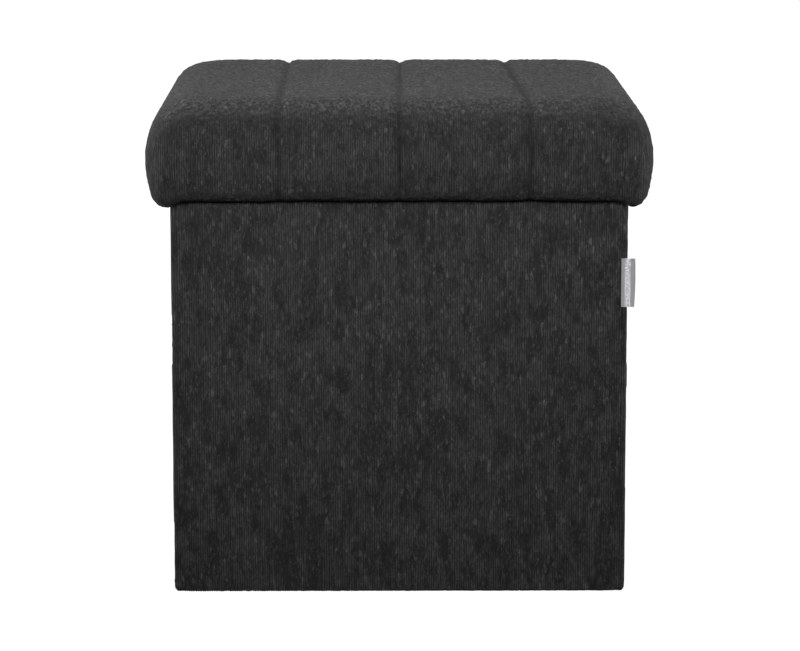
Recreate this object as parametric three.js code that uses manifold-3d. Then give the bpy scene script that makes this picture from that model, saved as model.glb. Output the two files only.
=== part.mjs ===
// Ottoman with storage: a padded lift-off lid over a fabric box that folds flat.
// Millimetres, +Z up, the front faces -Y. The origin is on the floor under the middle of the box.

import * as THREE from "three";
import { mergeVertices } from "three/addons/utils/BufferGeometryUtils.js";
import Module from "manifold-3d";

const wasm = await Module();
wasm.setup();

// Overall sizes, over the fabric
const boxWidth = 346;
const boxDepth = 346;
const overallHeight = 380;
const lidSkirtDrop = 36.8; // how far the lid's hem hangs below the top of the walls

// Sheet thicknesses
const gap = 0.3; // left between pieces that touch
const coverCloth = 1.6;
const liningCloth = 0.8;
const wallBoard = 4;
const floorCloth = 1.5;
const baseBoard = 3;
const baseLining = 0.6;
const tabTape = 0.7;
const hingeTape = 0.5;
const seamCloth = 0.6;
const lidCloth = 1.8;
const lidBoard = 9;
const lidRimBoard = 4;
const lidFoam = 29;
const lidSideFoam = 10.3; // at the lid's fullest line
const tagCloth = 1.2;

// Clearances of the moving pieces
const baseClearance = 1; // between the base board and the walls around it
const tabClearance = 0.4; // between the raised base board's tab and the back wall
const foldClearance = 1.2; // between the raised base board and the folded walls
const lidClearance = 1.2; // between the box and the facing inside the lid

// Shape of the padded lid
const crownInset = 37; // how far the flat of the seat lies inside the fullest line
const crownPower = 2.5;
const lidFullestRise = 28.6; // height of the fullest line above the hem
const hemTuck = 11; // how far the hem lies inside the fullest line
const hemPower = 2.2;
const lidCornerRadius = 28;
const hemCornerRadius = 10;
const rimFootRise = 5; // foam under the lower edge of the rim boards

// Small pieces
const tabWidth = 24;
const tabLength = 26;
const hingeTapeWidth = 20;
const hingeTapeLength = 300;
const tagWidth = 10.6;
const tagHeight = 37;
const tagDrop = 42.9; // from the lid's hem down to the tag
const tagSeamInset = 4.2; // from the box's right edge to the seam that holds the tag

// Wall build-up, from the outer cloth to the lining
const wallThickness = coverCloth + gap + wallBoard + gap + liningCloth;
const innerX = boxWidth / 2 - wallThickness;
const innerY = boxDepth / 2 - wallThickness;

// Heights, from the floor up
const baseBoardZ = floorCloth + gap;
const baseLiningZ = baseBoardZ + baseBoard + gap;
const baseTopZ = baseLiningZ + baseLining;
const tabZ = baseTopZ + gap;
const wallFootZ = tabZ + tabTape + gap;
const lidStack = liningCloth + lidBoard + lidFoam + lidCloth + 4 * gap;
const wallTopZ = overallHeight - lidStack;
const lidLiningZ = wallTopZ + gap;
const lidBoardZ = lidLiningZ + liningCloth + gap;
const lidFoamZ = lidBoardZ + lidBoard + gap;
const lidHemZ = wallTopZ - lidSkirtDrop;
const lidFullestZ = lidHemZ + lidFullestRise;

// Fold lines of the walls, seen from above
const baseHingeY = innerY - gap - tabTape - tabClearance;
const baseStack = baseTopZ - baseBoardZ;
const rearFoldY = baseHingeY - baseStack - foldClearance;
const frontFoldY = -innerY;
const midFoldY = (rearFoldY + frontFoldY) / 2;
const seamRoom = gap + seamCloth + gap;

// The lid's layers, as offsets out from the box's sides
const facingOffset = lidClearance;
const rimOffset = facingOffset + liningCloth + gap;
const rimOuterOffset = rimOffset + lidRimBoard;
const lidOverhang = rimOuterOffset + gap + lidSideFoam + gap + lidCloth;
const lidHalf = boxWidth / 2 + lidOverhang;
const lidDepthExtra = (boxDepth - boxWidth) / 2;

const clothMaterial = new THREE.MeshStandardMaterial({ color: 0x3b3b3c, roughness: 0.95 });
const seamMaterial = new THREE.MeshStandardMaterial({ color: 0x2a2a2b, roughness: 0.95 });
const liningMaterial = new THREE.MeshStandardMaterial({ color: 0x232325, roughness: 0.9 });
const boardMaterial = new THREE.MeshStandardMaterial({ color: 0xa98a62, roughness: 0.8 });
const foamMaterial = new THREE.MeshStandardMaterial({ color: 0xe6dfc8, roughness: 1 });
const tapeMaterial = new THREE.MeshStandardMaterial({ color: 0x1c1c1e, roughness: 0.85 });
const tagMaterial = new THREE.MeshStandardMaterial({ color: 0xb9b9b8, roughness: 0.85 });

// A closed geometry as a solid that can be cut and joined.
function solidOf(geometry) {
  const bare = geometry.clone();
  bare.deleteAttribute("normal");
  bare.deleteAttribute("uv");
  const merged = mergeVertices(bare);
  return new wasm.Manifold(
    new wasm.Mesh({
      numProp: 3,
      vertProperties: merged.attributes.position.array,
      triVerts: new Uint32Array(merged.index.array),
    }),
  );
}

// A solid as a geometry again.
function geometryOf(solid) {
  const cut = solid.getMesh();
  const geometry = new THREE.BufferGeometry();
  geometry.setAttribute("position", new THREE.BufferAttribute(cut.vertProperties, 3));
  geometry.setIndex(new THREE.BufferAttribute(cut.triVerts, 1));
  const faceted = geometry.toNonIndexed();
  faceted.computeVertexNormals();
  return faceted;
}

// A rectangular block between two corners.
function block([x0, y0, z0], [x1, y1, z1]) {
  const box = new THREE.BoxGeometry(x1 - x0, y1 - y0, z1 - z0);
  return box.translate((x0 + x1) / 2, (y0 + y1) / 2, (z0 + z1) / 2);
}

function piece(name, geometry, material) {
  const mesh = new THREE.Mesh(geometry, material);
  mesh.name = name;
  return mesh;
}

// One wall: a cloth cover turned in round its board, and a lining that closes the back.
// It runs along +X from the group's origin, with its outer face on Y = 0 and its lining inside.
function wall(name, length) {
  const group = new THREE.Group();
  const outer = block([0, 0, wallFootZ], [length, wallThickness, wallTopZ]);
  const pocket = block(
    [coverCloth, coverCloth, wallFootZ + coverCloth],
    [length - coverCloth, wallThickness + 1, wallTopZ - coverCloth],
  );
  const cover = geometryOf(solidOf(outer).subtract(solidOf(pocket)));
  const edge = coverCloth + gap;
  const board = block(
    [edge, edge, wallFootZ + edge],
    [length - edge, edge + wallBoard, wallTopZ - edge],
  );
  const lining = block(
    [edge, wallThickness - liningCloth, wallFootZ + edge],
    [length - edge, wallThickness, wallTopZ - edge],
  );
  group.add(piece(`${name}_cover`, cover, clothMaterial));
  group.add(piece(`${name}_board`, board, boardMaterial));
  group.add(piece(`${name}_lining`, lining, liningMaterial));
  return group;
}

function frontWall() {
  const group = wall("front", boxWidth);
  group.position.set(-boxWidth / 2, -boxDepth / 2, 0);
  return group;
}

function backWall() {
  const group = wall("back", boxWidth);
  group.position.set(boxWidth / 2, boxDepth / 2, 0);
  group.rotation.z = Math.PI;
  return group;
}

// Half of a side wall, between two fold lines, with the seam cloth of its front fold.
// side is -1 on the left and 1 on the right.
function sideHalf(name, seamName, side, frontLine, rearLine) {
  const y0 = frontLine + seamRoom;
  const y1 = rearLine - gap;
  const group = wall(name, y1 - y0);
  group.position.set((side * boxWidth) / 2, side < 0 ? y1 : y0, 0);
  group.rotation.z = (side * Math.PI) / 2;
  const x0 = side < 0 ? -boxWidth / 2 : innerX;
  const seam = block(
    [x0, frontLine + gap, wallFootZ],
    [x0 + wallThickness, frontLine + gap + seamCloth, wallTopZ],
  );
  const half = new THREE.Group();
  half.add(group, piece(seamName, seam, seamMaterial));
  return half;
}

function sideWalls() {
  const group = new THREE.Group();
  for (const [label, side] of [["left", -1], ["right", 1]]) {
    group.add(sideHalf(`${label}_front`, `corner_seam_${label}`, side, frontFoldY, midFoldY));
    group.add(sideHalf(`${label}_rear`, `fold_seam_${label}`, side, midFoldY, rearFoldY));
  }
  return group;
}

// Slack cloth at the rear corners, between the back wall and the rear fold lines.
function cornerGussets() {
  const group = new THREE.Group();
  for (const [label, x0] of [["left", -boxWidth / 2], ["right", innerX]]) {
    const strip = block([x0, rearFoldY, wallFootZ], [x0 + wallThickness, innerY - gap, wallTopZ]);
    group.add(piece(`corner_gusset_${label}`, strip, clothMaterial));
  }
  return group;
}

// The sewn foot of the shell: the floor cloth and the hem that runs round its edge.
function shellFoot() {
  const group = new THREE.Group();
  const halfX = boxWidth / 2;
  const halfY = boxDepth / 2;
  const hemZ = floorCloth + gap;
  const hemTopZ = wallFootZ - gap;
  const floor = block([-halfX, -halfY, 0], [halfX, halfY, floorCloth]);
  const front = block([-halfX, -halfY, hemZ], [halfX, -innerY, hemTopZ]);
  const back = block([-halfX, innerY, hemZ], [halfX, halfY, hemTopZ]);
  const sideY = innerY - gap;
  const left = block([-halfX, -sideY, hemZ], [-innerX, sideY, hemTopZ]);
  const right = block([innerX, -sideY, hemZ], [halfX, sideY, hemTopZ]);
  group.add(piece("floor_cloth", floor, liningMaterial));
  group.add(piece("foot_hem_front", front, clothMaterial));
  group.add(piece("foot_hem_back", back, clothMaterial));
  group.add(piece("foot_hem_left", left, clothMaterial));
  group.add(piece("foot_hem_right", right, clothMaterial));
  return group;
}

// The base board, which lies on the floor cloth and swings up on a tape against the back wall.
function base() {
  const group = new THREE.Group();
  const halfX = innerX - baseClearance;
  const frontY = -innerY + baseClearance;
  const board = block([-halfX, frontY, baseBoardZ], [halfX, baseHingeY, baseBoardZ + baseBoard]);
  const lining = block([-halfX, frontY, baseLiningZ], [halfX, baseHingeY, baseTopZ]);
  const tab = block(
    [-tabWidth / 2, frontY, tabZ],
    [tabWidth / 2, frontY + tabLength, tabZ + tabTape],
  );
  const tapeY = innerY - gap;
  const tape = block(
    [-hingeTapeLength / 2, tapeY - hingeTape, wallFootZ],
    [hingeTapeLength / 2, tapeY, wallFootZ + hingeTapeWidth],
  );
  group.add(piece("base_board", board, boardMaterial));
  group.add(piece("base_lining", lining, liningMaterial));
  group.add(piece("base_pull_tab", tab, tapeMaterial));
  group.add(piece("base_hinge_tape", tape, tapeMaterial));
  return group;
}

// The folded label that is sewn into the seam beside the front right corner.
function seamTag() {
  const seamX = boxWidth / 2 - tagSeamInset;
  const faceY = -boxDepth / 2 - gap;
  const topZ = lidHemZ - tagDrop;
  const tag = block([seamX, faceY - tagCloth, topZ - tagHeight], [seamX + tagWidth, faceY, topZ]);
  return piece("seam_tag", tag, tagMaterial);
}

// Half width of the lid's outer surface at a height.
function lidHalfWidth(z) {
  if (z < lidFullestZ) {
    const fall = (lidFullestZ - z) / lidFullestRise;
    return lidHalf - hemTuck * fall ** hemPower;
  }
  const rise = Math.min(1, (z - lidFullestZ) / (overallHeight - lidFullestZ));
  return lidHalf - crownInset * (1 - (1 - rise ** crownPower) ** (1 / crownPower));
}

function lidRadius(z) {
  const fall = Math.max(0, (lidFullestZ - z) / lidFullestRise);
  return lidCornerRadius - (lidCornerRadius - hemCornerRadius) * fall;
}

// A rounded rectangle of points at one height, anticlockwise from above.
function ring(half, radius, z) {
  const segments = 6;
  const points = [];
  for (let corner = 0; corner < 4; corner += 1) {
    const signX = corner === 0 || corner === 3 ? 1 : -1;
    const signY = corner < 2 ? 1 : -1;
    const centreX = signX * (half - radius);
    const centreY = signY * (half + lidDepthExtra - radius);
    for (let step = 0; step <= segments; step += 1) {
      const angle = ((corner + step / segments) * Math.PI) / 2;
      const x = centreX + radius * Math.cos(angle);
      const y = centreY + radius * Math.sin(angle);
      points.push(new THREE.Vector3(x, y, z));
    }
  }
  return points;
}

// A closed surface through rings of equal length, from the lowest to the highest.
function loft(rings) {
  const count = rings[0].length;
  const points = rings.flat();
  const centre = (points3) =>
    points3.reduce((sum, p) => sum.add(p), new THREE.Vector3()).divideScalar(count);
  const low = points.push(centre(rings[0])) - 1;
  const high = points.push(centre(rings.at(-1))) - 1;
  const last = (rings.length - 1) * count;
  const index = [];
  for (let j = 0; j < count; j += 1) {
    const next = (j + 1) % count;
    index.push(low, next, j, high, last + j, last + next);
    for (let i = 0; i < last; i += count) {
      index.push(i + j, i + next, i + count + j);
      index.push(i + next, i + count + next, i + count + j);
    }
  }
  const geometry = new THREE.BufferGeometry().setFromPoints(points);
  geometry.setIndex(index);
  return geometry;
}

// The lid's outer shape as a solid, drawn in by an inset all round.
function lidForm(inset) {
  const tuckSteps = 5;
  const crownSteps = 9;
  const rings = [];
  const footZ = lidHemZ + inset;
  for (let step = 0; step < tuckSteps; step += 1) {
    const z = footZ + ((lidFullestZ - footZ) * step) / tuckSteps;
    rings.push(ring(lidHalfWidth(z) - inset, lidRadius(z) - inset, z));
  }
  for (let step = 0; step <= crownSteps; step += 1) {
    const rise = Math.sin((step / crownSteps) * (Math.PI / 2));
    const outerZ = lidFullestZ + (overallHeight - lidFullestZ) * rise;
    const z = outerZ - inset * rise;
    rings.push(ring(lidHalfWidth(outerZ) - inset, lidRadius(outerZ) - inset, z));
  }
  return solidOf(loft(rings));
}

// A square block round the middle of the lid, standing out past the box by an offset.
function lidCore(offset, z0, z1) {
  const x = boxWidth / 2 + offset;
  const y = boxDepth / 2 + offset;
  return block([-x, -y, z0], [x, y, z1]);
}

// The padded cover, closed over the top and turned in under the rim.
function lidCover() {
  const mouth = lidCore(facingOffset, lidHemZ - 1, lidHemZ + lidCloth + 1);
  const shell = lidForm(0).subtract(lidForm(lidCloth)).subtract(solidOf(mouth));
  return piece("lid_cover", geometryOf(shell), clothMaterial);
}

// The lining cloth on the inner side of the rim boards, an open square sleeve.
function lidFacing() {
  const footZ = lidHemZ + lidCloth + gap;
  const topZ = lidBoardZ - gap;
  const outer = solidOf(lidCore(facingOffset + liningCloth, footZ, topZ));
  const inner = solidOf(lidCore(facingOffset, footZ - 1, topZ + 1));
  return piece("lid_facing", geometryOf(outer.subtract(inner)), liningMaterial);
}

// The lid's boards. Their corners are taken off where the cover rounds in over them.
function lidBoards() {
  const group = new THREE.Group();
  const padding = lidForm(lidCloth + gap);
  const fitted = (geometry) => geometryOf(solidOf(geometry).intersect(padding));
  const insideX = boxWidth / 2 + rimOffset;
  const insideY = boxDepth / 2 + rimOffset;
  const outsideX = boxWidth / 2 + rimOuterOffset;
  const outsideY = boxDepth / 2 + rimOuterOffset;
  const footZ = lidHemZ + lidCloth + gap + rimFootRise;
  const topZ = lidBoardZ - gap;
  const sideY = insideY - gap;
  const front = block([-outsideX, -outsideY, footZ], [outsideX, -insideY, topZ]);
  const back = block([-outsideX, insideY, footZ], [outsideX, outsideY, topZ]);
  const left = block([-outsideX, -sideY, footZ], [-insideX, sideY, topZ]);
  const right = block([insideX, -sideY, footZ], [outsideX, sideY, topZ]);
  const top = lidCore(rimOuterOffset, lidBoardZ, lidBoardZ + lidBoard);
  const lining = lidCore(facingOffset - gap, lidLiningZ, lidLiningZ + liningCloth);
  group.add(piece("lid_board", fitted(top), boardMaterial));
  group.add(piece("lid_rim_front", fitted(front), boardMaterial));
  group.add(piece("lid_rim_back", fitted(back), boardMaterial));
  group.add(piece("lid_rim_left", fitted(left), boardMaterial));
  group.add(piece("lid_rim_right", fitted(right), boardMaterial));
  group.add(piece("lid_lining", lining, liningMaterial));
  return group;
}

// The foam: a slab over the lid board, and a strip round each rim board, mitred at the corners.
function lidFoams() {
  const group = new THREE.Group();
  const reach = lidHalf + Math.abs(lidDepthExtra) + 1;
  const padding = lidForm(lidCloth + gap);
  const above = block([-reach, -reach, lidFoamZ], [reach, reach, overallHeight]);
  const slab = padding.intersect(solidOf(above));
  group.add(piece("lid_foam_top", geometryOf(slab), foamMaterial));

  const rimFootZ = lidHemZ + lidCloth + rimFootRise;
  const stripTopZ = lidFoamZ - gap;
  const band = block([-reach, -reach, lidHemZ], [reach, reach, stripTopZ]);
  const core = solidOf(lidCore(rimOuterOffset + gap, rimFootZ, overallHeight));
  const throat = solidOf(lidCore(rimOffset, 0, overallHeight));
  const strip = padding.intersect(solidOf(band)).subtract(core).subtract(throat);
  const sides = [["front", 0], ["right", 1], ["back", 2], ["left", 3]];
  for (const [label, turn] of sides) {
    const cut = strip.intersect(solidOf(mitreWedge(turn, reach)));
    group.add(piece(`lid_foam_${label}`, geometryOf(cut), foamMaterial));
  }
  return group;
}

// A quarter of the plan, between two mitre lines that run out through the lid's corners.
function mitreWedge(turn, reach) {
  const along = (turn % 2 ? boxDepth : boxWidth) / 2;
  const across = (turn % 2 ? boxWidth : boxDepth) / 2;
  const inwards = Math.min(along, across) / 2;
  const outline = new THREE.Shape();
  outline.moveTo(-along + inwards, -across + inwards - gap);
  outline.lineTo(-along - reach, -across - reach - gap);
  outline.lineTo(along + reach, -across - reach - gap);
  outline.lineTo(along - inwards, -across + inwards - gap);
  const wedge = new THREE.ExtrudeGeometry(outline, { depth: overallHeight, bevelEnabled: false });
  return wedge.rotateZ((turn * Math.PI) / 2);
}

const ottoman = new THREE.Group();
ottoman.add(backWall(), frontWall(), sideWalls(), cornerGussets(), shellFoot());
ottoman.add(base(), seamTag());
ottoman.add(lidCover(), lidFacing(), lidBoards(), lidFoams());

export default ottoman;
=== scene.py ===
"""Looks of the ottoman with storage: cloth, padding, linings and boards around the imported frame."""

import math

import bmesh
import bpy
import numpy as np
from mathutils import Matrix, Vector, noise


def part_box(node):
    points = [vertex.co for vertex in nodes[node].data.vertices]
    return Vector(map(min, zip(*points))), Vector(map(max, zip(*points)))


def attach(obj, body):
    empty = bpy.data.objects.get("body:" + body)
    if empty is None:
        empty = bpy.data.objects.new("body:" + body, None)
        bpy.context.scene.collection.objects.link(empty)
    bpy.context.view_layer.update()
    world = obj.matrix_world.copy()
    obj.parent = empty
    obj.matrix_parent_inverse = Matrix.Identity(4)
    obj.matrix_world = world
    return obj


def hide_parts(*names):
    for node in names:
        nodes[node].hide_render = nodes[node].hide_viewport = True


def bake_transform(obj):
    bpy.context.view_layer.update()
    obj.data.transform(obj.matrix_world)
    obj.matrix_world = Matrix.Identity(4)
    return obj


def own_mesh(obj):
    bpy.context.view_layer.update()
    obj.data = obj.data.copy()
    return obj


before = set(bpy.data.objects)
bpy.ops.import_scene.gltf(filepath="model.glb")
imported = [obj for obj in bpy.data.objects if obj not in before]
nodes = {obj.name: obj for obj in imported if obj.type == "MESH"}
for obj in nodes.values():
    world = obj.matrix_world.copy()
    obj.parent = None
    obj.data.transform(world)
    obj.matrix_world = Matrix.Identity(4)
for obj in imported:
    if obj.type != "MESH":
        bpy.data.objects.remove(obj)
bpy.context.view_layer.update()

MM = 0.001

# The camera, as it stands in front of the ottoman
CAMERA_PLACE = (-0.0176, -2.744, 0.644)
CAMERA_PITCH = math.radians(9.64)
CAMERA_TURN = math.radians(-0.4)
CAMERA_LENS = 155.1
SENSOR_WIDTH = 36

# The knitted boucle cloth: ribs that run up the walls, and nubs along them
RIB_PITCH = 1.75 * MM
RIB_HEIGHT = 0.22 * MM
NUB_SIZE = 2.6 * MM
NUB_STRETCH = 0.42  # below one, it draws the nubs out: up the walls, and along the seat
NUB_HEIGHT = 0.3 * MM
SEAT_LYING = 0.6  # how far a surface's normal rises before its nubs lie as the seat's do
SEAT_STRETCH = 0.45  # the same for the nubs' colours on the seat
SLACK_SIZE = 70 * MM  # of the slow unevenness of the cloth on its board
SLACK_HEIGHT = 0.3 * MM
RIB_COLUMN = 0.48 * MM  # spacing of the cloth's mesh across its ribs
CLOTH_ROW = 8 * MM  # and along them
COVER_CLOTH = 1.0 * MM
PILE_ROOM = 0.9 * MM  # the cloth lies this far inside the box, so that its nubs reach the box

# The lid's padding and its sewn channels, from the front edge to the back edge of each seam
SEAMS = ((-0.091, -0.091), (0.0, 0.003), (0.098, 0.09))
PAD_VOXEL = 4.4 * MM
PAD_START_INSET = 0.5 * MM
PAD_PRESSURE = 4
PAD_FRAMES = 20
PAD_CAP = 1.5 * MM
PAD_TOP_HOLD = 0.75  # how much less the top swells than the sides
PAD_RELIEF = 2.2  # how much deeper the nubs are on the padding than on the walls
PAD_TOP_PRESS = 0.9 * MM  # how far its sewing holds the top down
SEAM_PIN_WIDTH = 3.5 * MM
HEM_PIN_RISE = 7 * MM
GROOVE_DEPTH = 1.3 * MM  # the soft hollow along a seam
GROOVE_WIDTH = 5 * MM
CREASE_DEPTH = 1.5 * MM  # the sewn line at its bottom
CREASE_WIDTH = 2 * MM
CREASE_RISE = 6 * MM  # height over the hem at which the seams are at full depth
SEAM_SWAY = 1.2 * MM
SEAM_SWAY_SIZE = 9 * MM
SEAM_SHADE_WIDTH = 2 * MM
HEM_WAVE = 0.9 * MM
HEM_WAVE_SIZE = 45 * MM
HEM_FULLNESS = 1.7 * MM  # how far the roll above the hem stands out
HEM_ROLL = 6 * MM
HEM_REACH = 25 * MM  # how far up the skirt its hem's shape is felt
HEM_RISE = 0.9 * MM  # between the corners
HEM_SAG = 6.2 * MM  # at the corners
HEM_SAG_FROM = 160 * MM  # out from the middle, where the sag starts
HEM_SAG_FULL = 179 * MM  # and where it is full

# Seam lines down the front, beside its two upright corners
EDGE_SEAM_INSET = 3.9 * MM
EDGE_SEAM_DEPTH = 0.6 * MM
EDGE_SEAM_WIDTH = 0.9 * MM

# On all pieces: points closer than this are merged, and edges sharper than this stay sharp
MERGE = 0.01 * MM
SMOOTH_ANGLE = math.radians(60)


# Selecting, editing and applying

def deselect_all():
    bpy.ops.object.select_all(action="DESELECT")


def activate(piece):
    deselect_all()
    piece.select_set(True)
    bpy.context.view_layer.objects.active = piece


def named(name):
    piece = bpy.context.object
    piece.name = name
    piece.data.name = name
    return piece


def apply_place():
    bpy.ops.object.transform_apply(location=True, rotation=True, scale=True)


def add_block(name, low, high):
    """A rectangular block between two corners, with its place in its mesh."""
    deselect_all()
    low = Vector(low)
    high = Vector(high)
    bpy.ops.mesh.primitive_cube_add(size=1, location=(low + high) / 2)
    bpy.context.object.scale = high - low
    apply_place()
    return named(name)


def add_grid(name, width, height, columns, rows):
    """A flat rectangle of cloth round the origin, divided into columns and rows."""
    deselect_all()
    bpy.ops.mesh.primitive_grid_add(x_subdivisions=columns, y_subdivisions=rows, size=1)
    bpy.context.object.scale = (width, height, 1)
    apply_place()
    return named(name)


def select_faces(piece, wanted):
    """In edit mode, selects the faces that a test on centre and normal accepts."""
    bpy.ops.mesh.select_mode(type="FACE")
    bpy.ops.mesh.select_all(action="DESELECT")
    mesh = bmesh.from_edit_mesh(piece.data)
    for face in mesh.faces:
        face.select_set(wanted(face.calc_center_median(), face.normal))
    mesh.select_flush_mode()
    bmesh.update_edit_mesh(piece.data)


def edit(piece):
    activate(piece)
    bpy.ops.object.mode_set(mode="EDIT")


def leave_edit():
    bpy.ops.object.mode_set(mode="OBJECT")


def apply_modifier(piece, kind, **settings):
    """Adds one modifier with these settings and applies it."""
    activate(piece)
    modifier = piece.modifiers.new(kind.lower(), kind)
    for key, value in settings.items():
        setattr(modifier, key, value)
    bpy.ops.object.modifier_apply(modifier=modifier.name)


def dress(node, look):
    """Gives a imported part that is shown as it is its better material."""
    nodes[node].data.materials.clear()
    nodes[node].data.materials.append(look)


def places(piece):
    count = len(piece.data.vertices)
    flat = np.empty(count * 3)
    piece.data.vertices.foreach_get("co", flat)
    return flat.reshape(count, 3)


def set_places(piece, points):
    piece.data.vertices.foreach_set("co", points.ravel())
    piece.data.update()


def normals_of(piece):
    count = len(piece.data.vertices)
    flat = np.empty(count * 3, np.float32)
    piece.data.vertex_normals.foreach_get("vector", flat)
    return flat.reshape(count, 3).astype(float)


# Cloth relief

def field(points, size, seed=0.0):
    """Smooth noise from -1 to 1 over points, with features of about this size."""
    scaled = points / size + seed
    return np.array([noise.noise(Vector(p)) for p in scaled])


def nubs(points, stretch):
    """Relief of the cloth's nubs, drawn out along the axes with a factor below one."""
    squeezed = points * stretch
    return field(squeezed, NUB_SIZE) + 0.5 * field(squeezed, NUB_SIZE / 2, 7.3)


def ribs(run):
    return np.cos(run * (2 * math.pi / RIB_PITCH))


def rough_up(piece, run=None, share=1.0):
    """Gives a cloth surface its nubs, and ribs where it has a running length."""
    points = places(piece)
    lying = np.clip(normals_of(piece)[:, 2] / SEAT_LYING, 0, 1) ** 2
    wall = nubs(points, (1, 1, NUB_STRETCH))
    seat = nubs(points, (1, NUB_STRETCH, 1)) if lying.any() else wall
    lift = NUB_HEIGHT * share * (wall + (seat - wall) * lying)
    if run is not None:
        lift = lift + RIB_HEIGHT * ribs(run)
    set_places(piece, points + normals_of(piece) * lift[:, None])


# Nodes

def grey(level, tint=1.0):
    """A grey as a colour, with more or less blue in it by its tint."""
    return (level, level, level * tint, 1)


def join(tree, value, socket):
    if isinstance(value, bpy.types.NodeSocket):
        tree.links.new(value, socket)
    else:
        socket.default_value = value


def add_node(tree, kind, **values):
    """A node whose inputs, spelled with _ for a space, get these numbers, colours or links."""
    node = tree.nodes.new(kind)
    for label, value in values.items():
        join(tree, value, node.inputs[label.replace("_", " ")])
    return node


def empty_tree(owner):
    """The node tree of a new material or world, with nothing in it."""
    owner.use_nodes = True
    owner.node_tree.nodes.clear()
    return owner.node_tree


# Camera, floor and light

def add_camera():
    bpy.ops.object.camera_add(location=CAMERA_PLACE,
                              rotation=(math.pi / 2 - CAMERA_PITCH, 0, CAMERA_TURN))
    camera = bpy.context.object
    camera.name = "camera"
    camera.data.lens = CAMERA_LENS
    camera.data.sensor_width = SENSOR_WIDTH
    bpy.context.scene.camera = camera


def add_area_light(name, place, target, size, power, spread):
    bpy.ops.object.light_add(type="AREA", location=place)
    light = bpy.context.object
    light.name = name
    light.data.shape = "RECTANGLE"
    light.data.size = size[0]
    light.data.size_y = size[1]
    light.data.energy = power
    light.data.spread = spread
    aim = Vector(target) - Vector(place)
    light.rotation_euler = aim.to_track_quat("-Z", "Y").to_euler()
    light.visible_camera = False


# Each light's place, the point it aims at, its two sides, its power and how wide it spreads
WIDE = math.pi
NARROW = math.radians(60)
LIGHT_ABOVE = ((-0.35, 0.5, 1.75), (0, 0, 0.33), (0.8, 0.8), 36.5, WIDE)
LIGHT_BEHIND = ((0.1, 1.7, 0.34), (0, 0.17, 0.2), (0.8, 0.25), 3.2, NARROW)
LIGHT_FRONT = ((0.5, -1.35, 0.8), (0, -0.17, 0.36), (0.5, 0.35), 1.9, NARROW)  # one on each side
LIGHT_SIDE = ((1.5, 0.4, 0.34), (0.17, 0, 0.2), (0.6, 0.25), 3, NARROW)  # one on each side
BACKDROP_GLOW = 1.05
ROOM_LIGHT = 0.165
FLOOR_SIZE = 12
FLOOR_TONE = 0.08


def mirrored(place, side):
    return (side * place[0], place[1], place[2])


def show_to_camera(tree, seen, lit, surface):
    """Joins two shaders: the camera sees the first, and everything else the second."""
    path = tree.nodes.new("ShaderNodeLightPath")
    mix = add_node(tree, "ShaderNodeMixShader", Fac=path.outputs["Is Camera Ray"])
    tree.links.new(lit.outputs[0], mix.inputs[1])
    tree.links.new(seen.outputs[0], mix.inputs[2])
    tree.links.new(mix.outputs[0], surface)


def add_lights():
    add_area_light("light_above", *LIGHT_ABOVE)
    for side in (-1, 1):
        for name, light in (("light_front", LIGHT_FRONT), ("light_side", LIGHT_SIDE)):
            place, target, *rest = light
            add_area_light(name, mirrored(place, side), mirrored(target, side), *rest)
    add_area_light("light_behind", *LIGHT_BEHIND)
    world = bpy.data.worlds.new("studio")
    tree = empty_tree(world)
    seen = add_node(tree, "ShaderNodeBackground", Color=grey(1), Strength=BACKDROP_GLOW)
    fill = add_node(tree, "ShaderNodeBackground", Color=grey(1), Strength=ROOM_LIGHT)
    output = tree.nodes.new("ShaderNodeOutputWorld")
    show_to_camera(tree, seen, fill, output.inputs["Surface"])
    bpy.context.scene.world = world


def add_floor():
    deselect_all()
    bpy.ops.mesh.primitive_plane_add(size=FLOOR_SIZE)
    floor = named("floor")
    material = bpy.data.materials.new("studio_floor")
    tree = empty_tree(material)
    glow = add_node(tree, "ShaderNodeEmission", Strength=BACKDROP_GLOW)
    paint = add_node(tree, "ShaderNodeBsdfDiffuse", Color=grey(FLOOR_TONE))
    output = tree.nodes.new("ShaderNodeOutputMaterial")
    show_to_camera(tree, glow, paint, output.inputs["Surface"])
    floor.data.materials.append(material)


# Shader parts

def calc(tree, operation, a, b=0.0, clamp=False):
    node = tree.nodes.new("ShaderNodeMath")
    node.operation = operation
    node.use_clamp = clamp
    join(tree, a, node.inputs[0])
    join(tree, b, node.inputs[1])
    return node.outputs[0]


def times(tree, a, b):
    return calc(tree, "MULTIPLY", a, b)


def plus(tree, a, b, clamp=False):
    return calc(tree, "ADD", a, b, clamp)


def mix_colour(tree, share, a, b, blend="MIX"):
    node = tree.nodes.new("ShaderNodeMix")
    node.data_type = "RGBA"
    node.blend_type = blend
    join(tree, share, node.inputs["Factor"])
    join(tree, a, node.inputs["A"])
    join(tree, b, node.inputs["B"])
    return node.outputs["Result"]


def tones(tree, share, pair):
    """A grey that goes from the first to the second of two tones."""
    return mix_colour(tree, share, grey(pair[0]), grey(pair[1]))


def noise_value(tree, vector, scale, detail=2.0, roughness=0.5):
    node = add_node(tree, "ShaderNodeTexNoise", Vector=vector, Scale=scale, Detail=detail,
                    Roughness=roughness)
    return node.outputs["Fac"]


def ramp(tree, value, low, high):
    """Maps low..high to 0..1, smoothly."""
    node = add_node(tree, "ShaderNodeMapRange", Value=value, From_Min=low, From_Max=high)
    node.interpolation_type = "SMOOTHSTEP"
    return node.outputs["Result"]


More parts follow.
